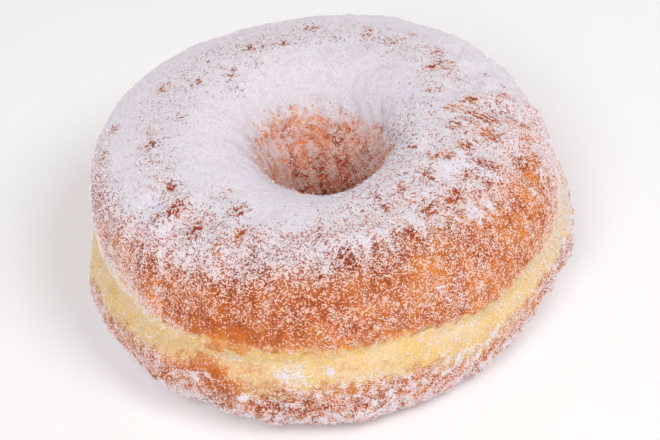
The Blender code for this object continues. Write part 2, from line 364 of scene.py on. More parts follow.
# Where the crust shows through the sugar, or sugar lies in a clump, in the same terms.
SUGAR_SPOTS = (
    (314, -5.5, 22, 6, -0.20), (252, 45, 14, 3, -0.18), (243, 29, 12, 6, -0.07),
    (333, 19, 12, 7, -0.05), (350, 40, 15, 6, 0.15), (247, 40, 4.5, 1.8, -0.20),
    (178, 22, 14, 5, -0.12), (75, -16.5, 5, 2, 0.25), (12, -17, 6, 2.5, 0.32),
    (120, -14.8, 6, 1.2, -0.08), (318, 4.5, 8, 3, 0.11), (331, 4.5, 8, 3, 0.13),
    (105, 0, 3, 1.5, -0.12), (226, -1.5, 5, 2, -0.09), (275, 45, 14, 4, 0.08),
    (313, 15.5, 13, 2, 0.06), (0, 19, 8, 5, -0.08), (331, 23.5, 9, 4.5, -0.14),
    (348, -12, 4, 2, -0.20), (285, -3, 6, 3, -0.10), (345, -8.8, 4.5, 2.5, -0.12),
    (165, -22.5, 5.5, 4.5, 0.20), (140, -24.5, 4.5, 3, 0.14), (15, -22.5, 3.5, 3, 0.12),
    (188, 22.5, 11, 4, -0.07), (334, 20.3, 6, 3.5, -0.10), (296, 24, 13, 4, 0.07),
    (352, 12, 7, 4, -0.07), (290, 38.5, 20, 8, 0.06), (297, 36.5, 11, 2.2, 0.07),
    (262, 9, 15, 6, -0.06), (188, 17.5, 11, 4, -0.07), (248, 39.2, 4.6, 1.8, -0.34),
    (122, -21.5, 5, 3.4, 0.14), (60, 27, 15, 4, -0.22), (100, 28.5, 13, 3.5, -0.30),
    (135, 27, 14, 4, -0.24), (157, 29, 9, 2.8, -0.28), (86, 23.8, 4, 2.2, -0.30),
    (118, 23.2, 3.6, 2.4, -0.26), (44, 24, 3.4, 1.8, -0.28), (71, 22.2, 1.6, 1.4, -0.45),
    (0, 4.5, 5, 3, 0.20), (210, 44.5, 9, 4, -0.12), (262, 45, 12, 4, 0.06),
    (225, 15, 7, 1.8, 0.10), (182, 16.5, 12, 3.5, -0.10), (200, 24, 16, 4, 0.12),
    (110, 1, 25, 5, -0.08), (138, -6, 15, 5, -0.08), (346, 7, 6, 3, -0.12),
    (277, 7.5, 12, 4, 0.12), (350, 22.5, 10, 6, 0.18), (310, 23, 25, 7, 0.06),
    (213, 13.5, 9, 3, -0.12), (0, 12, 5, 2.5, -0.20), (122, -26, 2, 5, -0.20),
    (135, -19.5, 4, 1.2, -0.25), (204.6, 3.4, 1, 1, -0.90), (181.8, 4.1, 1.1, 0.8, -0.80),
    (143.8, -0.4, 1.2, 0.8, -0.70), (129, -4.1, 1.4, 1.1, -0.45), (150, 5.4, 1.2, 1, -0.40),
    (166.5, 13.8, 1.3, 1.6, -0.55), (174.8, 16, 1.2, 1.4, -0.50), (109.2, 1, 1.3, 1, -0.40),
    (96.5, 0, 1.2, 1, -0.45), (113.5, -4.4, 1.2, 1, -0.30), (84, 5.2, 1.4, 1.4, -0.40),
    (134.5, -7.9, 1, 1.2, -0.25), (168.8, -1.7, 1.2, 1.2, -0.20),
    (222.5, -3.8, 1.2, 1, -0.30), (233.7, -1.4, 1.4, 1.4, -0.45),
    (239, 4.2, 0.9, 2.4, -0.55), (213.7, 6.1, 1.2, 2.6, -0.50), (224, 7.5, 1.3, 2.6, -0.50),
    (211, 10, 1, 1.4, -0.45), (219, 10, 0.9, 1.4, -0.30), (234, 8.8, 1.2, 1.8, -0.35),
    (246, 8.8, 0.9, 1.8, -0.30), (266, 1.5, 0.6, 3, -0.30), (273, 9.6, 1.2, 2.2, -0.45),
    (282.5, 9.2, 0.9, 1.8, -0.35), (293, 10.3, 1.8, 1.6, -0.55), (292, 1, 0.5, 2.8, -0.35),
    (303, 0.7, 0.9, 0.9, -0.50), (304, 7.8, 1.4, 1.3, -0.45), (313.5, 9.3, 2.2, 1.3, -0.50),
    (315.2, 3.1, 1.6, 1.2, -0.30), (325, 2.2, 1.1, 1, -0.45), (328, 4, 1, 1.2, -0.45),
    (335, 6.1, 1.4, 1.4, -0.55), (328.5, -3.5, 0.6, 2, -0.40), (345.2, 4, 1.5, 0.8, -0.50),
    (344.5, 10.3, 1.7, 1.8, -0.60), (353, 8.8, 1.5, 2.6, -0.75),
    (356.5, 3.7, 1.2, 1.2, -0.35), (0, 6.6, 1.2, 2, -0.50), (323.8, 9.3, 1.6, 1.2, -0.40),
    (331, 10.6, 1.4, 2.2, -0.35), (354.2, 16.3, 1.4, 1.8, -0.40),
    (347.8, 16.6, 1.5, 1.2, -0.45), (338.5, 18.8, 2.4, 3, -0.35),
    (5, 13.8, 1.2, 1.2, -0.40), (15.7, 12.7, 0.9, 0.9, -0.30), (11.2, 0.3, 1.4, 1, -0.25),
    (22.8, 6.8, 1.6, 1.2, -0.35), (26, 4.3, 1, 1.4, -0.35), (32.8, 7.4, 1.4, 1, -0.40),
    (50.8, 3.7, 1.2, 1.2, -0.25), (46.5, 8.2, 1.2, 1, -0.30), (61.8, 4.2, 1, 1.6, -0.35),
    (72.8, 0.7, 0.8, 0.8, -0.25), (17, -14.7, 1.2, 1.6, -0.45), (4.5, -18.5, 1, 2, -0.30),
    (146, -28, 2.2, 3, -0.20), (133, -33, 1.6, 4, 0.25), (80, -29, 1.4, 4, 0.12),
    (63, -30, 1.4, 4.5, -0.22), (297.5, 7.5, 1, 3, 0.22), (314.5, 14, 2.6, 1.4, 0.25),
    (331.8, 20.2, 1.2, 1, 0.50), (341, 21, 1.4, 1.2, 0.35), (240.5, 27.7, 7, 2.8, -1.00),
    (310.5, 25.2, 2.2, 3, -0.20), (318.8, 29.3, 2.4, 1.2, -0.20),
    (254.5, 37.2, 4.2, 2.1, 0.60), (264.2, 37, 1.7, 1.2, 0.48),
    (272.5, 39.2, 4.4, 1.1, 0.38), (229.5, 40.4, 1, 1.2, 0.50), (233, 39.2, 1.1, 0.9, 1.10),
    (236, 42, 4.5, 2.8, -0.12), (226, 47.5, 7, 3, 0.06), (243.5, 38.4, 1.6, 0.8, 0.40),
    (242.3, 43, 2.4, 0.8, 0.50), (252, 44.2, 2, 0.8, 0.35), (234.5, 39.2, 4.2, 2.6, -0.34),
    (239.5, 34.7, 2.8, 1.1, 0.34), (200, 29, 10, 3, 0.20), (215, 28.5, 7, 2.6, 0.20),
    (226, 28.5, 5, 2, 0.15), (346.7, -2.8, 0.9, 0.8, 0.60), (328.4, -0.8, 0.8, 0.8, 0.50))

# Where the even dusting under the grains lies thicker or thinner.
DUST_PLACES = (
    (186, 24, 22, 9, 0.22), (45, -24, 6, 9, 0.08), (128, -24, 6, 6, 0.10),
    (80, -34.5, 16, 6, -0.22), (254.5, 37.2, 5, 2.6, 0.35), (240.5, 27.7, 8, 3, -0.50),
    (262, 9, 15, 6, 0.10), (226, 47.5, 8, 3.5, 0.16), (214, 45, 12, 5, 0.08))


def sugar_cover(azimuth, out, radius, points):
    """The share of the crust that sugar hides, the even dusting under the grains, and how
    white the grains look.

    The dusting is near 1 between the two edges of the thick sugar, less a Gaussian where it
    is worn, and falls by smooth steps to thinner covers on the slope, the band, the underside
    and in the hole. The cover adds noise, which breaks up what is neither bare nor hidden by up
    to 4c(1 - c) of its strength, and the spots, which are Gaussians. The white rises with the
    mean of the cover and the larger of the two, and rises less in the hole.
    """
    edge = THICK_EDGE + waves(azimuth, THICK_EDGE_WAVES)
    thin = THIN_COVER + waves(azimuth, THIN_COVER_WAVES)
    cover = THICK_COVER + (thin - THICK_COVER) * past(out, edge, THICK_FADE)
    worn = WORN_COVER + waves(azimuth, WORN_COVER_WAVES)
    cover = cover - worn * np.exp(-((out - WORN_PLACE) / WORN_REACH) ** 2)
    hole_edge = (HOLE_EDGE + waves(azimuth, HOLE_EDGE_WAVES)
                 + streaks(azimuth, out, *HOLE_EDGE_STREAKS) + ripples(points, HOLE_EDGE_CLUMPS))
    in_hole = past(-out, -hole_edge, HOLE_FADE)
    cover = cover + (HOLE_COVER + waves(azimuth, HOLE_COVER_WAVES) - cover) * in_hole
    band_cover = BAND_COVER + waves(azimuth, BAND_COVER_WAVES)
    pale_top = PALE_TOP + waves(azimuth, PALE_TOP_WAVES)
    cover = cover + (band_cover - cover) * past(out, pale_top, PALE_BLUR)
    below = (UNDERSIDE_COVER + waves(azimuth, UNDERSIDE_COVER_WAVES)
             + FOOT_COVER * past(out, FOOT_PLACE, PALE_BLUR))
    under = past(out, PALE_FOOT + waves(azimuth, PALE_FOOT_WAVES), PALE_BLUR)
    cover = cover + (below - cover) * under
    dusting = cover + HOLE_DUSTING * in_hole
    for amount, far in near(azimuth, out, radius, DUST_PLACES):
        dusting = dusting + amount * np.exp(-far)

    start, fade = STREAKS_START
    slope = np.clip((out - start) / fade + 0.5, 0, 1)
    broken = np.clip(4 * cover * (1 - cover), LEAST_BROKEN, 1)
    cover = cover + broken * (ripples(points, THIN_CLUMPS)
                              + streaks(azimuth, out, *THIN_STREAKS) * slope)
    cover = cover + under * ripples(points, UNDERSIDE_CLUMPS)
    cover = cover + in_hole * (streaks(azimuth, out, *HOLE_STREAKS) + ripples(points, HOLE_CLUMPS))
    dots = np.clip(1 + ripples(points, SPOT_CLUMPS), *SPOT_STRENGTH)
    for amount, far in near(azimuth, out, radius, SUGAR_SPOTS):
        cover = cover + amount * np.exp(-far) * (dots if amount < 0 else 1)
    white = ((np.maximum(cover, dusting) + cover) / 2 - WHITE_FROM) * WHITE_GAIN
    return (np.clip(np.maximum(cover, LEAST_GRAINS * dusting), 0, MOST_COVER), dusting,
            np.clip(white * (1 - HOLE_CLEAR * in_hole), 0, 1))


def pale_share(azimuth, out, radius, points):
    """1 on the pale band and 0 on the crust: a smooth step at each edge, moved by noise, and
    flat-topped Gaussian places where brown or pale dough lies in the other."""
    ragged = out + ripples(points, PALE_RAGGEDNESS)
    pale = (past(ragged, PALE_TOP + waves(azimuth, PALE_TOP_WAVES), PALE_BLUR)
            * (1 - past(ragged, PALE_FOOT + waves(azimuth, PALE_FOOT_WAVES), PALE_BLUR)))
    for amount, far in near(azimuth, ragged, radius, PALE_PLACES):
        pale = pale + amount * np.exp(-far ** 2)
    return np.clip(pale, 0, 1)


# How dark the crust is, from -0.5 for light through 0 for golden to 1 for dark: mostly how it
# browned, but inside the hole it is painted paler as painted light. A step is given as the
# distance of its middle, out from the crown or into the hole, and its fade.
CRUST_TONE = 0.46
GOLDEN_LIP = 0.30  # how much paler the crust turns over its last stretch above the band
GOLDEN_REACH = 0.0050
GOLDEN_END = (0.0350, 0.0020)
# Painted light: inside the hole, above its throat, the crust is painted paler, and at the throat a
# little paler still.
HOLE_PAINTED_LIGHT = 0.22  # how much paler it is inside the hole, above its throat
HOLE_PAINTED_LIGHT_START = (0.0130, 0.0080)
HOLE_PAINTED_LIGHT_END = (0.0290, 0.0120)
HOLE_THROAT_PAINTED_LIGHT = -0.04  # and what it gains at the throat
HOLE_THROAT_PAINTED_LIGHT_START = (0.0300, 0.0100)
TONE_NOISE = ((1.0, 0.0110, 51), (1.0, 0.0045, 52), (0.7, 0.0016, 53))
TONE_SPREAD = 0.10
HOLE_TONE_SPREAD = 0.08
HOLE_TONE_START = (0.0150, 0.0060)
TONE_RANGE = (-0.5, 1)

# Places where the crust is darker or lighter than round it.
TONE_PLACES = (
    (241, 27.7, 9, 3.2, -0.08), (318, 24, 20, 6, -0.22), (352, 12, 12, 8, -0.15),
    (225, 21, 14, 6, 0.12), (268, 20, 16, 5, 0.08), (215, 9, 12, 7, 0.20),
    (234, 39.2, 5, 3, 0.02), (254, 44.7, 15, 2.4, 0.28), (308, 44, 20, 5, -0.35),
    (120, -23, 8, 6, -0.28), (145, -27, 8, 8, -0.25), (62, -31, 5, 6, 0.30),
    (247, 38.5, 6, 3, -0.35), (247, 20, 10, 4, 0.10), (262, 9, 16, 6, 0.25),
    (236, 41.5, 6, 3.4, -0.20))


def crust_tone(azimuth, out, radius, points):
    """How dark the crust is: its level, less smooth falls above the band and in the hole, plus
    Gaussian places, and noise of three lengths that is stronger in the hole."""
    lip = PALE_TOP + waves(azimuth, PALE_TOP_WAVES)
    into = -out
    golden_lip = past(out, lip - GOLDEN_REACH / 2, GOLDEN_REACH) * (1 - past(out, *GOLDEN_END))
    hole_painted_light_share = past(into, *HOLE_PAINTED_LIGHT_START) * (1 - past(into, *HOLE_PAINTED_LIGHT_END))
    # Painted light: the falls inside the hole and at its throat paint the crust lighter there.
    tone = (CRUST_TONE - HOLE_PAINTED_LIGHT * hole_painted_light_share + HOLE_THROAT_PAINTED_LIGHT * past(into, *HOLE_THROAT_PAINTED_LIGHT_START)
            - GOLDEN_LIP * golden_lip)
    for amount, far in near(azimuth, out, radius, TONE_PLACES):
        tone = tone + amount * np.exp(-far)
    spread = TONE_SPREAD + HOLE_TONE_SPREAD * past(into, *HOLE_TONE_START)
    return np.clip(tone + spread * ripples(points, TONE_NOISE), *TONE_RANGE)


# The fine relief, in metres: noises as above, and where each one lies.
DOUGH_RELIEF = ((0.00012, 0.0075, 61), (0.00006, 0.0027, 62))
CRAG_RELIEF = ((0.00016, 0.0044, 63), (0.00010, 0.0019, 64))
CRAGS_START = (0.0415, 0.0030)
LIP_RELIEF = ((0.00014, 0.0035, 65), (0.00008, 0.0016, 66))
LIP_PLACE = 0.0325
LIP_REACH = 0.0028
STRETCH_MARKS = (0.00007, (4, 30), 0.0011, 67)
HOLE_FOLDS = (0.00016, (6, 26), 0.030, 68)
INSIDE_START = (0.0140, 0.0080)
CLINGING_SUGAR = 0.00016  # how high it stands where it hides the crust
FLAT_FOOT = 0.0020  # the height over which the relief grows from nothing at the base


def surface(azimuth, station, with_sugar=True):
    """The finished surface's points, its outward normals, and what its finish is read from.

    The normals are cross products of two short steps over the form. The fine relief moves the
    form along them. It is a sum of noises: the dough's broad unevenness, the underside's crags,
    the lip's ragged edge, the band's stretch marks, the hole's folds, and the sugar that
    clings, which is as high as its cover.
    """
    nudge = 1e-4
    points = ring_form(azimuth, station) - OFF_CENTRE
    round_it = ring_form(azimuth + nudge, station) - OFF_CENTRE - points
    along = ring_form(azimuth, station + nudge) - OFF_CENTRE - points
    normals = np.cross(round_it, along)
    normals /= np.linalg.norm(normals, axis=-1, keepdims=True)
    out = way_out(station)
    radius = np.hypot(points[..., 0], points[..., 1])
    cover, dusting, white = sugar_cover(azimuth, out, radius, points)
    pale = pale_share(azimuth, out, radius, points)
    tone = crust_tone(azimuth, out, radius, points)
    # How far into the hole: it sets the hole's folds, and the share of the hole's painted light in
    # the finish.
    inside = past(-out, *INSIDE_START) + 0 * radius  # the sum gives every point a value
    relief = ripples(points, DOUGH_RELIEF)
    relief += past(out, *CRAGS_START) * ripples(points, CRAG_RELIEF)
    relief += np.exp(-((out - LIP_PLACE) / LIP_REACH) ** 2) * ripples(points, LIP_RELIEF)
    relief += pale * streaks(azimuth, out, *STRETCH_MARKS)
    relief += inside * streaks(azimuth, out, *HOLE_FOLDS)
    if with_sugar:
        relief += CLINGING_SUGAR * cover
    relief *= np.clip(points[..., 2] / FLAT_FOOT, 0, 1)
    finish = {"cover": cover, "dusting": dusting, "white": white, "pale": pale, "tone": tone,
              "inside": inside}
    return points + relief[..., None] * normals, normals, finish


def ring_faces(around, rows):
    """Four-sided faces of a grid that is closed round the ring and along the section."""
    here, row = np.meshgrid(np.arange(around), np.arange(rows), indexing="ij")
    after, next_row = (here + 1) % around, (row + 1) % rows
    return np.stack([here * rows + row, after * rows + row,
                     after * rows + next_row, here * rows + next_row], axis=-1).reshape(-1, 4)


def mesh_piece(name, points, faces, smooth=True, **values):
    """An object of these points and faces, whose named values go into point attributes."""
    mesh = bpy.data.meshes.new(name)
    corners = faces.shape[1]
    mesh.vertices.add(len(points))
    mesh.vertices.foreach_set("co", points.astype(np.float32).ravel())
    mesh.loops.add(faces.size)
    mesh.loops.foreach_set("vertex_index", faces.astype(np.int32).ravel())
    mesh.polygons.add(len(faces))
    mesh.polygons.foreach_set("loop_start", np.arange(0, faces.size, corners, dtype=np.int32))
    mesh.polygons.foreach_set("use_smooth", np.full(len(faces), smooth))
    for label, value in values.items():
        mesh.attributes.new(label, "FLOAT", "POINT").data.foreach_set(
            "value", value.astype(np.float32).ravel())
    mesh.update(calc_edges=True)
    piece = bpy.data.objects.new(name, mesh)
    bpy.context.scene.collection.objects.link(piece)
    return piece


def bake_map(piece, places):
    """Gives the piece the UV map for its baked finish, from places for every face corner."""
    layer = piece.data.uv_layers.new(name="OFBake")
    layer.data.foreach_set("uv", places.astype(np.float32).ravel())


def grid_places(around, rows):
    """Map places of each corner of a closed grid's faces: azimuth across, section up."""
    here, row = np.meshgrid(np.arange(around), np.arange(rows), indexing="ij")
    corners = [np.stack([(here + step) / around, (row + up) / rows], axis=-1)
               for step, up in ((0, 0), (1, 0), (1, 1), (0, 1))]
    return np.stack(corners, axis=2).reshape(-1, 2)


class Wire:
    """A shader socket that takes part in sums: each operator adds one Math node."""

    def __init__(self, socket):
        self.socket = socket

    def node(self, kind, settings, inputs, output=0):
        """Adds a node: its settings first, then numbers or links into its sockets."""
        tree = self.socket.id_data
        node = tree.nodes.new(kind)
        for setting, value in settings.items():
            setattr(node, setting, value)
        for label, value in inputs.items():
            if isinstance(value, Wire):
                tree.links.new(value.socket, node.inputs[label])
            else:
                node.inputs[label].default_value = value
        return Wire(node.outputs[output])

    def other(self, output):
        """Another output of the same node."""
        return Wire(self.socket.node.outputs[output])

    def math(self, operation, *values, clamp=False):
        """Adds a Math node on these values."""
        settings = {"operation": operation, "use_clamp": clamp}
        return self.node("ShaderNodeMath", settings, dict(enumerate(values)))

    def __add__(self, value):
        return self.math("ADD", self, value)

    def __sub__(self, value):
        return self.math("SUBTRACT", self, value)

    def __rsub__(self, value):
        return self.math("SUBTRACT", value, self)

    def __mul__(self, value):
        return self.math("MULTIPLY", self, value)

    def clamp(self):
        """This value held between 0 and 1."""
        return self.math("ADD", self, 0.0, clamp=True)

    def ramp(self, start, gain):
        """0 up to the start, then rising at the gain, and 1 past its end."""
        return ((self - start) * gain).clamp()

    def colour(self, low, high):
        """The colour between low and high, with this value as the share of high."""
        ends = {label: end if isinstance(end, Wire) else (*end, 1)
                for label, end in ((6, low), (7, high))}
        return self.node("ShaderNodeMix", {"data_type": "RGBA"}, {0: self, **ends}, output=2)

    def noise(self, length, detail=2.0):
        """Noise of about that wavelength at this place, from 0 to 1."""
        return self.node("ShaderNodeTexNoise", {},
                         {"Vector": self, "Scale": 1 / length, "Detail": detail})


def new_finish(name):
    """A new material, its shader, and the place on the object as a Wire."""
    material = bpy.data.materials.new(name)
    material.use_nodes = True
    tree = material.node_tree
    place = Wire(tree.nodes.new("ShaderNodeTexCoord").outputs["Object"])
    return material, tree.nodes["Principled BSDF"], place


def feed(shader, **wires):
    """Links each wire to the shader's socket of that name, with spaces for underscores."""
    for label, wire in wires.items():
        shader.id_data.links.new(wire.socket, shader.inputs[label.replace("_", " ")])


def attribute(place, label):
    """The value of that name which the piece's points carry."""
    return place.node("ShaderNodeAttribute", {"attribute_name": label}, {}, output="Fac")


# Linear colours of the crust, of the crust in the hole (painted lighter and rosier, as painted
# light), of the dough, and of the sugar.
LIGHT_CRUST = (0.92, 0.360, 0.200)
GOLDEN_CRUST = (0.67, 0.195, 0.020)
BROWN_CRUST = (0.46, 0.098, 0.015)
DARK_CRUST = (0.27, 0.037, 0.012)
# Painted light: lighter, rosier crust colours used inside the hole, painted as the light that
# reaches into it.
HOLE_CRUST_PAINTED_LIGHT = (0.88, 0.275, 0.110)
HOLE_BROWN_PAINTED_LIGHT = (0.58, 0.130, 0.055)
HOLE_DARK_PAINTED_LIGHT = (0.38, 0.060, 0.030)
PALE_DOUGH = (0.83, 0.62, 0.39)
YELLOW_DOUGH = (0.80, 0.52, 0.165)
SUGAR_WHITE = (0.785, 0.738, 0.80)
SUGAR_FILM = (0.70, 0.475, 0.455)
GRAIN_ON_CRUST = (0.98, 0.61, 0.43)
GRAIN_ON_DOUGH = (0.94, 0.77, 0.58)

# Sizes in metres of what is too fine for the mesh.
SUGAR_GRAIN = 0.00028
SUGAR_DUST = 0.00020
CRUST_MOTTLE = 0.0008
DOUGH_MOTTLE = 0.0060

# Ramps are (the value from which something shows, how fast it then rises to full).
YELLOW_RAMP = (0.35, 2.2)
FLECK_RAMP = (0.58, 2.4)
VEIL_RAMP = (0.58, 0.95)  # even dusting, too fine for grains, over the cover from here
BROWN_MOTTLING = 0.8
DARK_MOTTLING = 0.5
DARK_FROM = 2.0
# Painted shade: where the dusting is thick, the bare gaps between grains are painted as dark
# crust, as painted shade between the grains. The next number lifts that shade under a grain and
# deepens it in a bare cell.
GAP_PAINTED_SHADE = 1.8  # how much the dusting darkens the gaps that it leaves
GRAIN_SHADE_LIFT = 1.1  # and how much lighter the crust is near a grain
COVER_GAIN = 1.12  # so that full cover leaves no cell bare
COVER_START = 0.06
GRAIN_EDGE = 9  # how sharply a grain starts where the cover reaches its number
GRAIN_CRUMBLE = 3.0  # how ragged that leaves it
CELL_SIZE = 1.12  # how much of its cell a grain fills where the cover is thin or full
CELL_GAP = 1.22  # and how much less between the two
CELL_EDGE = 5
FILM_FROM = 0.53  # dust between the grains
FILM_GAIN = 1.9
WHITE_BODY = 0.5  # a grain hides what is under it by its white, its own number,
SHADE_BODY = 0.85  # and a least share
LEAST_BODY = 0.20
GRAIN_ROUNDING = 0.6
DUST_HEIGHT = 0.35
BUMP_STRENGTH = 0.9
BUMP_HEIGHT = 0.00020
CRUST_ROUGHNESS = 0.50
SUGAR_ROUGHNESS = 0.88
DOUGH_SPECULAR = 0.12


def dough_finish():
    """Crust from light to dark by its tone, redder in the hole, and pale dough on the band.

    A veil of even dusting lies over both, and over it the sugar that clings: each grain-sized
    cell is sugared where its own random number is under the cover. Single grains are clear and
    take up the colour under them, each to its own degree, and where the cover is thick they are
    white. A film of dust lies between them, and the gaps in thick dusting are painted darkest,
    as painted shade between the grains.
    """
    material, shader, place = new_finish("fried_dough")
    cover, dusting, white, pale, tone, inside = (
        attribute(place, label)
        for label in ("cover", "dusting", "white", "pale", "tone", "inside"))
    cell = place.node("ShaderNodeTexVoronoi", {"feature": "F1"},
                      {"Vector": place, "Scale": 1 / SUGAR_GRAIN, "Randomness": 1.0}, "Color")
    lot = cell.node("ShaderNodeSeparateColor", {}, {"Color": cell}, "Red")
    shade = lot.other("Green")
    rim = cell.other("Distance")
    dust = place.noise(SUGAR_DUST)
    sugared = cover * COVER_GAIN - COVER_START - lot
    fine = place.noise(CRUST_MOTTLE, detail=3.0)
    mottle = fine - 0.5

    # Light to golden up to a tone of 0, golden to brown up to 0.5, and brown to dark at last.
    # Painted light: inside the hole the crust takes its lighter, rosier painted-light colours.
    crust = (tone * 2 + 1).clamp().colour(LIGHT_CRUST, inside.colour(GOLDEN_CRUST, HOLE_CRUST_PAINTED_LIGHT))
    crust = (tone * 2 + mottle * BROWN_MOTTLING).clamp().colour(
        crust, inside.colour(BROWN_CRUST, HOLE_BROWN_PAINTED_LIGHT))
    # The step to dark also paints shade: where the dusting is thick, bare cells between the grains
    # get dark crust as painted shade, and sugared cells are lifted out of it.
    dark = (tone * 2 - DARK_FROM + mottle * DARK_MOTTLING - sugared * GRAIN_SHADE_LIFT
            + dusting * GAP_PAINTED_SHADE)
    crust = dark.clamp().colour(crust, inside.colour(DARK_CRUST, HOLE_DARK_PAINTED_LIGHT))
    dough = place.noise(DOUGH_MOTTLE).ramp(*YELLOW_RAMP).colour(YELLOW_DOUGH, PALE_DOUGH)
    dough = fine.ramp(*FLECK_RAMP).colour(dough, GOLDEN_CRUST)
    veil = ((dusting + cover) * 0.5).ramp(*VEIL_RAMP)
    skin = veil.colour(pale.colour(crust, dough), SUGAR_FILM)

    kept = (sugared * GRAIN_EDGE + (dust - 0.5) * GRAIN_CRUMBLE + 0.5).clamp()
    grain = kept * ((cover * (cover - 1) * CELL_GAP + CELL_SIZE - rim) * CELL_EDGE).clamp()
    bright = white.colour(pale.colour(GRAIN_ON_CRUST, GRAIN_ON_DOUGH), SUGAR_WHITE)
    film = ((dust - FILM_FROM) * cover * FILM_GAIN).clamp()
    sugar = (white * WHITE_BODY + shade * SHADE_BODY + LEAST_BODY).clamp().colour(skin, bright)
    height = grain * (1 - rim * GRAIN_ROUNDING) + dust * DUST_HEIGHT
    bump = height.node("ShaderNodeBump", {}, {"Strength": BUMP_STRENGTH, "Distance": BUMP_HEIGHT,
                                              "Height": height}, "Normal")
    feed(shader, Base_Color=grain.colour(film.colour(skin, bright), sugar), Normal=bump,
         Roughness=grain * (SUGAR_ROUGHNESS - CRUST_ROUGHNESS) + CRUST_ROUGHNESS)
    shader.inputs["Specular IOR Level"].default_value = DOUGH_SPECULAR
    return material


DOUGH_STEPS_ROUND = 552
DOUGH_ROWS = (5, 27, 24, 58, 46, 18)  # for each stretch of the section


def make_dough():
    """The closed ring surface: whole turns of azimuth by every station of the section."""
    azimuth = full_turn(DOUGH_STEPS_ROUND)
    station = np.concatenate([stretch + np.arange(count) / count
                              for stretch, count in enumerate(DOUGH_ROWS)])[None, :]
    points, _, finish = surface(azimuth, station)
    dough = mesh_piece("dough", points.reshape(-1, 3), ring_faces(*points.shape[:2]), **finish)
    bake_map(dough, grid_places(*points.shape[:2]))
    dough.data.materials.append(dough_finish())
    return dough


dough = make_dough()
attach(dough, "root")
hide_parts("doughnut")

# ---- packed sugar
# The fine sugar that lies thick over the crown, pressed on when the warm ring was tossed in
# it. It stands up to 0.3 mm over the bare crust, and comes out in grains and clumps through the
# clinging sugar of the dough's own surface.
COAT_STATIONS = (3.28, 4.62)
COAT_STEPS_ROUND = 640
COAT_ROWS = 154
COAT_FULL = 0.00050
COAT_SETTING = 0.72  # the cover at which the coat's top comes level with the bare crust
COAT_GRAINS = (0.00090, 71, 60)  # wavelength, seed and count of waves
COAT_CLUMPS = ((0.3, 0.0015, 72),)
COAT_RAGGEDNESS = 0.03  # the strength of that noise where the cover is full,
COAT_THIN_RAGGEDNESS = 0.3  # what it gains as the cover falls,
COAT_THINNEST = 0.4  # and the fall at which it gains no more
COAT_END = 0.06  # the share of a stretch over which the coat's ends dip into the dough
COAT_ROOT = 0.0012  # how deep below the dough the coat's hidden inside lies


def make_coat():
    """A closed shell: the upper side stands over the bare crust in step with the cover, less
    the setting level and plus grain-sized noise, and the lower side lies inside the dough."""
    azimuth = full_turn(COAT_STEPS_ROUND)
    station = np.linspace(*COAT_STATIONS, COAT_ROWS)[None, :]
    points, normals, finish = surface(azimuth, station, with_sugar=False)
    cover = finish["cover"]
    grainy = ripple(points, *COAT_GRAINS) + ripples(points, COAT_CLUMPS)
    ragged = COAT_RAGGEDNESS + COAT_THIN_RAGGEDNESS * np.clip(1 - cover, 0, COAT_THINNEST)
    share = np.clip(cover - COAT_SETTING + grainy * ragged, -1, 1)
    first, last = COAT_STATIONS
    ends = np.clip(np.minimum(station - first, last - station) / COAT_END, 0, 1)
    lift = COAT_FULL * share * ends - COAT_ROOT * (1 - ends)
    upper = points + lift[..., None] * normals
    lower = points[:, [-1, 0]] - 2 * COAT_ROOT * normals[:, [-1, 0]]
    shell = np.concatenate([upper, lower], axis=1)
    finish = {label: np.concatenate([value, value[:, [-1, 0]]], axis=1)
              for label, value in finish.items()}
    coat = mesh_piece("sugar_coat", shell.reshape(-1, 3), ring_faces(*shell.shape[:2]), **finish)
    bake_map(coat, grid_places(*shell.shape[:2]))
    coat.data.materials.append(dough.data.materials[0])
    return coat


coat = make_coat()
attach(coat, "root")
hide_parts("doughnut")

# ---- loose sugar
# Single sugar crystals that stuck to the ring: chunky grains, more of them where the sugar lies
# thicker but few where it is packed into the coat, each half sunk in what it sticks to. Each part
# of the ring has its own piece.
CRYSTAL_WHITE = (0.95, 0.90, 0.95)
CRYSTAL_ON_CRUST = (0.95, 0.56, 0.42)
CRYSTAL_ROUGHNESS = 0.42
CRYSTAL_SPECULAR = 0.5
GRAIN_SIZE = 0.00026
GRAIN_SPREAD = 0.28  # of the sizes' logarithm, up to twice either way
GRAIN_STRETCH = (0.7, 1.25)
GRAIN_SINK = 0.15
GRAIN_WHITE_SPREAD = 0.2
GRAINS = {  # name: (first station, last station, grains per square millimetre)
    "sugar_on_underside": (1.15, 2.00, 5.0), "sugar_on_band": (2.00, 2.92, 2.2),
    "sugar_on_dome": (2.92, 3.60, 6.5), "sugar_on_crown": (3.60, 4.45, 2.0),
    "sugar_in_hole": (4.45, 5.30, 3.5)}
GRAIN_SEED = 81
CANDIDATES = 260000
MOST_GRAINS = 24000
LEAST_CHANCE = 0.03  # of a grain where there is no cover
PACKED_COVER = 0.85  # past this cover the coat has taken up most grains,
PACKED_CHANCE = 0.08  # and this share of them is left
LOWEST_GRAIN = 0.0006  # so that none reaches below the base
COAT_LIFT = 0.65  # how much of the coat's thickness raises the grains on it

# An eight-sided crystal: the ends of its three axes, its sides, and one side's bake map within
# the grain's own square.
CRYSTAL_ENDS = np.array([[1, 0, 0], [0, 1, 0], [-1, 0, 0], [0, -1, 0], [0, 0, 1], [0, 0, -1]])
CRYSTAL_SIDES = np.array([[0, 1, 4], [1, 2, 4], [2, 3, 4], [3, 0, 4],
                          [1, 0, 5], [2, 1, 5], [3, 2, 5], [0, 3, 5]])
CRYSTAL_MAP = np.array([[0.2, 0.2], [0.8, 0.2], [0.5, 0.8]])


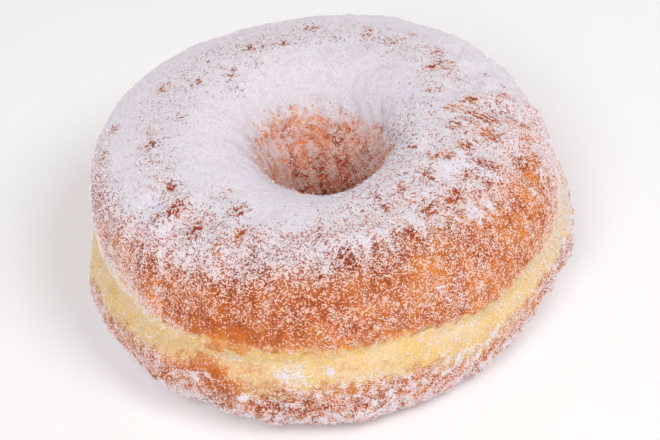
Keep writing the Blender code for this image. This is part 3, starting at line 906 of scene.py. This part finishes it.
def grain_finish():
    """Clear crystals: white where they lie thick, and the crust's colour where they are single."""
    material, shader, place = new_finish("sugar_crystal")
    single = attribute(place, "pale").colour(CRYSTAL_ON_CRUST, GRAIN_ON_DOUGH)
    feed(shader, Base_Color=attribute(place, "shows").colour(CRYSTAL_WHITE, single))
    shader.inputs["Roughness"].default_value = CRYSTAL_ROUGHNESS
    shader.inputs["Specular IOR Level"].default_value = CRYSTAL_SPECULAR
    return material


def turned(count, draw):
    """Random turns as 3 x 3 matrices, from random unit quaternions."""
    turns = draw.normal(size=(4, count))
    w, x, y, z = turns / np.linalg.norm(turns, axis=0)
    rows = [[1 - 2 * (y * y + z * z), 2 * (x * y - w * z), 2 * (x * z + w * y)],
            [2 * (x * y + w * z), 1 - 2 * (x * x + z * z), 2 * (y * z - w * x)],
            [2 * (x * z - w * y), 2 * (y * z + w * x), 1 - 2 * (x * x + y * y)]]
    return np.moveaxis(np.array(rows), -1, 0)


def places_of_grains(first, last, per_square_millimetre, draw):
    """Azimuths and stations, drawn evenly over both and then kept with a chance in step with
    the area that each stands for: the cross product of the form's two slopes."""
    azimuth = draw.uniform(0, 2 * np.pi, CANDIDATES)
    station = draw.uniform(first, last, CANDIDATES)
    nudge = 1e-3
    start = ring_form(azimuth, station)
    area = np.linalg.norm(np.cross((ring_form(azimuth + nudge, station) - start) / nudge,
                                   (ring_form(azimuth, station + nudge) - start) / nudge), axis=-1)
    square_millimetres = area * 2 * np.pi * (last - first) / CANDIDATES / MILLIMETRE ** 2
    kept = draw.random(CANDIDATES) < square_millimetres * per_square_millimetre
    return azimuth[kept], station[kept]


def scatter(name, first, last, per_square_millimetre, seed, finish):
    """Crystals at random places, each kept with a chance in step with the cover there, and each
    a stretched octahedron, turned at random and lifted along the surface's normal."""
    draw = np.random.default_rng(seed)
    azimuth, station = places_of_grains(first, last, per_square_millimetre, draw)
    points, normals, values = surface(azimuth, station)
    chance = (np.clip(values["cover"], LEAST_CHANCE, 1)
              * np.where(values["cover"] > PACKED_COVER, PACKED_CHANCE, 1))
    kept = (draw.random(len(azimuth)) < chance) & (points[:, 2] > LOWEST_GRAIN)
    kept[np.cumsum(kept) > MOST_GRAINS] = False
    points, normals = points[kept], normals[kept]
    cover, white, pale = (values[label][kept] for label in ("cover", "white", "pale"))
    count = len(points)
    size = GRAIN_SIZE * np.exp(GRAIN_SPREAD * draw.normal(size=count).clip(-2, 2))
    packed = COAT_FULL * np.clip(cover - COAT_SETTING, 0, 1)
    lift = size * (0.5 - GRAIN_SINK) + COAT_LIFT * packed
    stretch = draw.uniform(*GRAIN_STRETCH, size=(count, 3)) * size[:, None] / 2
    shape = np.einsum("nij,nkj->nki", turned(count, draw), CRYSTAL_ENDS * stretch[:, None, :])
    corners = (points + lift[:, None] * normals)[:, None, :] + shape
    faces = (np.arange(count)[:, None, None] * len(CRYSTAL_ENDS) + CRYSTAL_SIDES).reshape(-1, 3)
    shows = np.clip(1 - white + GRAIN_WHITE_SPREAD * draw.normal(size=count), 0, 1)
    piece = mesh_piece(name, corners.reshape(-1, 3), faces, smooth=False,
                       shows=np.repeat(shows, len(CRYSTAL_ENDS)),
                       pale=np.repeat(pale, len(CRYSTAL_ENDS)))
    across = int(np.ceil(np.sqrt(count)))
    square = np.stack([np.arange(count) % across, np.arange(count) // across], axis=-1)
    places = (square[:, None, None, :] + CRYSTAL_MAP) / across
    bake_map(piece, np.repeat(places, len(CRYSTAL_SIDES), axis=1).reshape(-1, 2))
    piece.data.materials.append(finish)
    return piece


crystal = grain_finish()
for number, (name, (first, last, many)) in enumerate(GRAINS.items()):
    grains = scatter(name, first, last, many, GRAIN_SEED + number, crystal)
    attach(grains, "root")
    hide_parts("doughnut")

# ---- the table
# A plain pale table top, painted matt and faintly mottled. It reaches far past what the camera
# sees.
TABLE_HALF = 3.0
TABLE_LIGHT = (0.985, 0.985, 0.985)
TABLE_SHADE = (0.97, 0.97, 0.97)
TABLE_MOTTLE = 0.05
TABLE_ROUGHNESS = 0.7
TABLE_SPECULAR = 0.2


def make_table():
    """One square of four corners at the height that the ring rests on."""
    corners = TABLE_HALF * np.array([[-1, -1, 0], [1, -1, 0], [1, 1, 0], [-1, 1, 0]])
    table = mesh_piece("table", corners, np.array([[0, 1, 2, 3]]))
    material, shader, place = new_finish("table_top")
    feed(shader, Base_Color=place.noise(TABLE_MOTTLE).colour(TABLE_LIGHT, TABLE_SHADE))
    shader.inputs["Roughness"].default_value = TABLE_ROUGHNESS
    shader.inputs["Specular IOR Level"].default_value = TABLE_SPECULAR
    table.data.materials.append(material)
    return table


make_table()

# ---- light and camera
# Soft daylight from all round, brighter near the horizon, and two large lamps in front: one to
# the right and one to the left. The camera looks down on the front from the photograph's own
# angle, a little rolled.
SKY_STRENGTH = 0.29
GLOW_STRENGTH = 1.90  # what the sky gains at the horizon, on average
GLOW_SIDES = (-0.12, 1.25, 0)  # and how much more of it lies towards each axis
GLOW_TOP = 0.5  # the sine of the height at which the glow ends
LAMPS = {  # name: (place, size, power)
    "key": ((0.413, -0.492, 0.784), 0.40, 3.9),
    "fill": ((-0.210, -0.612, 0.762), 0.50, 3.5)}
AIM = Vector((0.000375, -0.000781, 0.018))
LOOK_DOWN = np.radians(42.49)
ROLL = np.radians(10.08)
DISTANCE = 0.55235
SENSOR = 36.0
FOCAL = 150.64
NEAREST = 0.01
FRAMING = (0.00037, -0.00102)  # moves the view right and up in its own plane


def place_in_scene(name, data, turn, place):
    """Adds a lamp or camera at a place, turned by a matrix."""
    thing = bpy.data.objects.new(name, data)
    thing.matrix_world = Matrix.Translation(place) @ turn.to_4x4()
    bpy.context.scene.collection.objects.link(thing)
    return thing


def light_scene():
    """The sky's strength falls in a straight line with the sine of the height, and leans
    towards the glow's sides. Each lamp is a disk that faces the ring."""
    world = bpy.data.worlds.new("daylight")
    world.use_nodes = True
    sky = world.node_tree.nodes["Background"]
    sky.inputs["Color"].default_value = (1.0, 1.0, 1.0, 1)
    way = Wire(world.node_tree.nodes.new("ShaderNodeTexCoord").outputs["Generated"])
    height = way.node("ShaderNodeSeparateXYZ", {}, {"Vector": way}, "Z")
    side = way.node("ShaderNodeVectorMath", {"operation": "DOT_PRODUCT"},
                    {0: way, 1: GLOW_SIDES}, "Value")
    glow = (1 - height * (1 / GLOW_TOP)).clamp() * (side + GLOW_STRENGTH)
    feed(sky, Strength=glow + SKY_STRENGTH)
    bpy.context.scene.world = world
    for name, (place, size, power) in LAMPS.items():
        lamp = bpy.data.lights.new(name, "AREA")
        lamp.shape = "DISK"
        lamp.size = size
        lamp.energy = power
        turn = (Vector(place) - AIM).to_track_quat("Z", "Y").to_matrix()
        place_in_scene(name, lamp, turn, place)


def place_camera():
    """The camera's axes: back along the line of sight, and right and up turned by the roll."""
    back = Vector((0, -np.cos(LOOK_DOWN), np.sin(LOOK_DOWN)))
    up = Vector((0, np.sin(LOOK_DOWN), np.cos(LOOK_DOWN)))
    right = Vector((1, 0, 0))
    across = right * np.cos(ROLL) - up * np.sin(ROLL)
    upright = right * np.sin(ROLL) + up * np.cos(ROLL)
    place = AIM + back * DISTANCE + across * FRAMING[0] + upright * FRAMING[1]
    lens = bpy.data.cameras.new("camera")
    lens.sensor_width = SENSOR
    lens.lens = FOCAL
    lens.clip_start = NEAREST
    turn = Matrix((across, upright, back)).transposed()
    bpy.context.scene.camera = place_in_scene("camera", lens, turn, place)


light_scene()
place_camera()
bpy.context.scene.view_settings.view_transform = "Standard"
